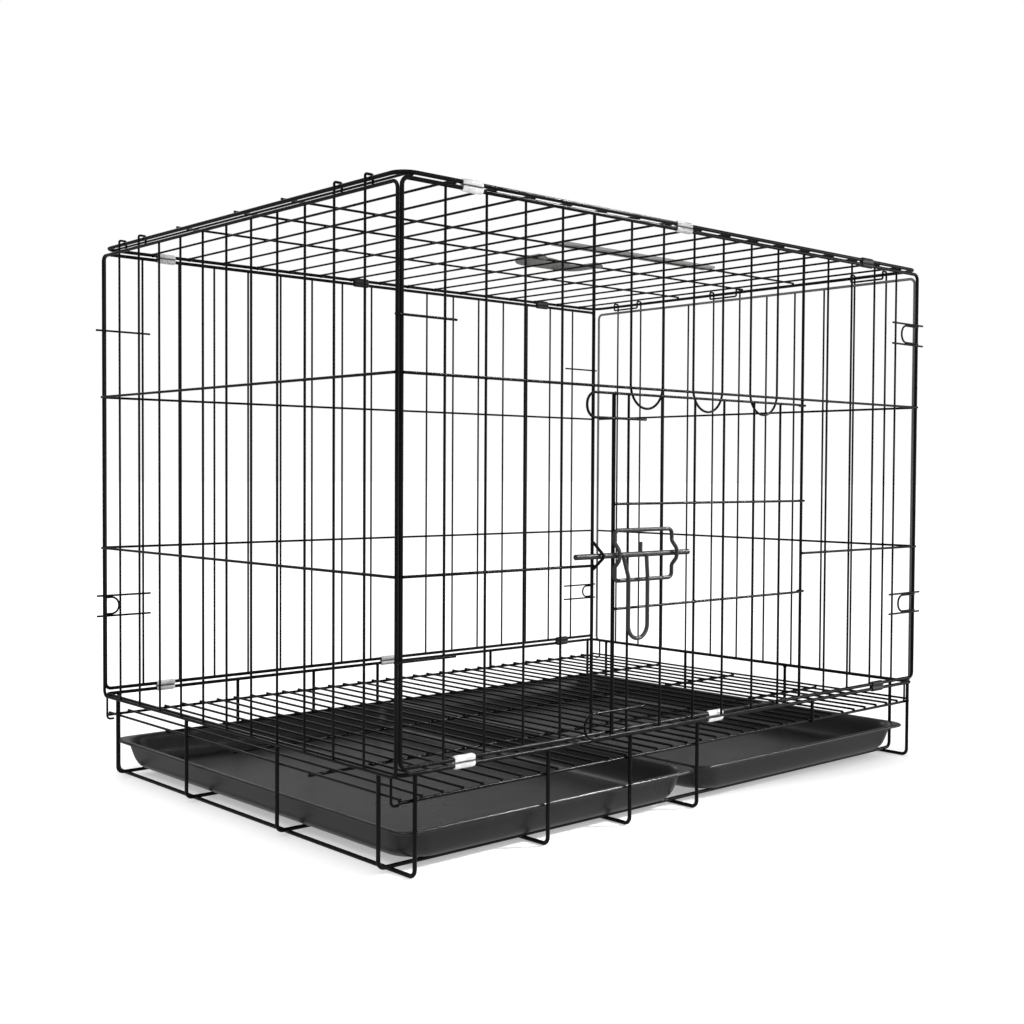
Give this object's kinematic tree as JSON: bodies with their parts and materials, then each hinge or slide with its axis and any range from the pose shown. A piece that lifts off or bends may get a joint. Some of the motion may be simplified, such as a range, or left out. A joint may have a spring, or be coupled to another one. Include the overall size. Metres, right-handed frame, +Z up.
{
  "type": "pet cage",
  "caption": "Folding wire pet cage on a raised wire stand: front door with slide bolt, clipped panels that fold flat, lift-up top handle and two trays under a wire floor",
  "frame": {"origin": "On the ground, under the middle of the whole part's bounds; the middle of the rectangle of the cage's border wires is 5.1 mm behind it, because the bolt's pull reaches out in front", "axes": "+X along the front to the right as seen from the front, +Y from the front with the door to the back, +Z up"},
  "size_m": [0.608, 0.4304, 0.4599],
  "materials": {
    "black_wire": "black powder coat with a soft sheen",
    "zinc_clip": "bright zinc plating",
    "black_clip": "black coated sheet",
    "grey_metal": "satin grey coat",
    "grey_plastic": "satin grey moulding",
    "tray_plastic": "satin charcoal plastic with a fine grain"
  },
  "bodies": {
    "base": {"base_border": "black_wire", "cross_cradles": "black_wire", "long_cradles": "black_wire", "floor_wires": "black_wire", "floor_rails": "black_wire", "floor_ties": "black_wire", "base_clips_front": "zinc_clip", "base_clips_back": "zinc_clip"},
    "front": {"front_frame": "black_wire", "front_uprights": "black_wire", "door_posts": "black_wire", "front_rails": "black_wire", "door_hairpins": "black_wire", "front_latch_wires": "black_wire", "front_latch_bows": "black_wire", "bolt_keeper": "black_wire"},
    "back": {"back_frame": "black_wire", "back_uprights": "black_wire", "back_rails": "black_wire", "back_latch_wires": "black_wire", "back_latch_bows": "black_wire"},
    "top": {"top_border": "black_wire", "top_cross_wires": "black_wire", "top_long_wires": "black_wire", "top_strip": "grey_metal", "top_clips_front": "black_clip", "top_clips_back": "black_clip"},
    "left_end": {"left_end_frame": "black_wire", "left_end_uprights": "black_wire", "left_end_rails": "black_wire", "left_end_tongues": "black_wire", "left_end_hooks": "black_wire"},
    "right_end": {"right_end_frame": "black_wire", "right_end_uprights": "black_wire", "right_end_rails": "black_wire", "right_end_tongues": "black_wire", "right_end_hooks": "black_wire"},
    "door": {"door_borders": "black_wire", "door_rails": "black_wire", "door_edge": "black_wire", "door_bars": "black_wire", "bolt_guide": "black_wire"},
    "bolt": {"bolt_rod": "black_wire", "bolt_pull": "black_wire", "bolt_nub": "black_wire"},
    "handle": {"handle_arms": "grey_plastic", "handle_grip": "grey_plastic"},
    "tray_left": {"tray_left": "tray_plastic"},
    "tray_right": {"tray_right": "tray_plastic"}
  },
  "joints": [
    {"name": "cage_fold", "type": "hinge", "parent": "base", "child": "front", "pos_m": [0, -0.20187, 0.0726], "axis": [-1, 0, 0], "range_deg": [0, 85]},
    {"name": "back_fold", "type": "hinge", "parent": "base", "child": "back", "pos_m": [0, 0.21213, 0.0726], "axis": [-1, 0, 0], "range_deg": [0, 85.5]},
    {"name": "top_level", "type": "hinge", "parent": "front", "child": "top", "pos_m": [0, -0.20187, 0.4433], "axis": [1, 0, 0], "range_deg": [0, 85.5]},
    {"name": "left_end_swing", "type": "hinge", "parent": "top", "child": "left_end", "pos_m": [-0.2975, 0.00513, 0.4472], "axis": [0, 1, 0], "range_deg": [0, 85.5]},
    {"name": "right_end_swing", "type": "hinge", "parent": "top", "child": "right_end", "pos_m": [0.2975, 0.00513, 0.4472], "axis": [0, -1, 0], "range_deg": [0, 85.5]},
    {"name": "door_swing", "type": "hinge", "parent": "front", "child": "door", "pos_m": [0.1225, -0.20187, 0.19], "axis": [0, 0, 1], "range_deg": [0, 160]},
    {"name": "bolt_slide", "type": "slide", "parent": "door", "child": "bolt", "axis": [1, 0, 0], "range_m": [0, 0.024]},
    {"name": "handle_lift", "type": "hinge", "parent": "top", "child": "handle", "pos_m": [0.0476, -0.00067, 0.44947], "axis": [1, 0, 0], "range_deg": [0, 100]},
    {"name": "tray_left_lift", "type": "slide", "parent": "base", "child": "tray_left", "axis": [0, 0, 1], "range_m": [0, 0.018]},
    {"name": "tray_right_lift", "type": "slide", "parent": "base", "child": "tray_right", "axis": [0, 0, 1], "range_m": [0, 0.018]}
  ],
  "couplings": [
    {"joint": "back_fold", "follows": "cage_fold", "ratio": 1},
    {"joint": "top_level", "follows": "cage_fold", "ratio": 1},
    {"joint": "left_end_swing", "follows": "cage_fold", "ratio": 1},
    {"joint": "right_end_swing", "follows": "cage_fold", "ratio": 1}
  ]
}
